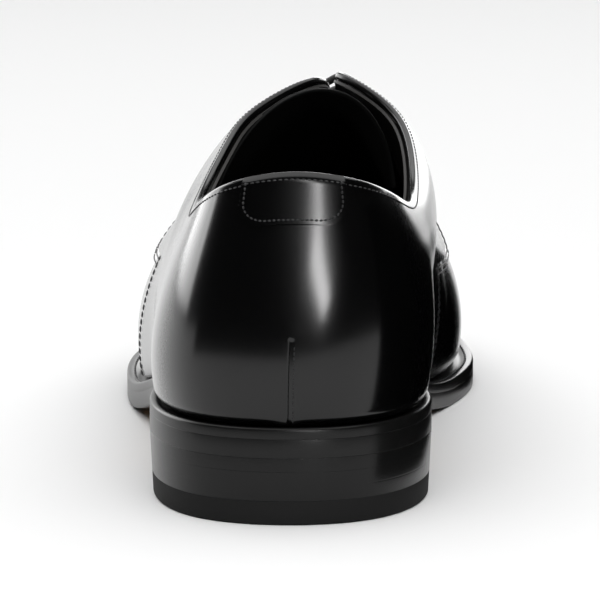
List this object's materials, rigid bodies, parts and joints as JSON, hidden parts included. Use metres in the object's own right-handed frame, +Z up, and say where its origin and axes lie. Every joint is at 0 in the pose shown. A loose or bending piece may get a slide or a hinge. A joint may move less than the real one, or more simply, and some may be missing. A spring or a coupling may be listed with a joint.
{
  "type": "derby dress shoe",
  "caption": "Black patent leather left derby dress shoe with open laced facings, quarters in one piece round the heel, a back tab, a welted leather sole and a stacked heel.",
  "frame": {"origin": "middle of the sole's outline, on the floor", "axes": "+Y to the toe, +X to the inner side of the left foot, +Z up"},
  "size_m": [0.1068, 0.3043, 0.1062],
  "materials": {
    "sole_leather": "black burnished edge, natural tan underneath",
    "edge_leather": "black, waxed and burnished",
    "lift_rubber": "black, satin",
    "lining_leather": "black, matt",
    "patent_leather": "black, high gloss coat",
    "waxed_cord": "black, waxed cotton"
  },
  "bodies": {
    "root": {"outsole": "sole_leather", "welt": "edge_leather", "heel_stack": "edge_leather", "top_lift": "lift_rubber", "insole": "lining_leather", "upper": "patent_leather", "quarters": "patent_leather", "heel_tab": "patent_leather", "tongue": "patent_leather", "lace": "waxed_cord"}
  },
  "joints": []
}
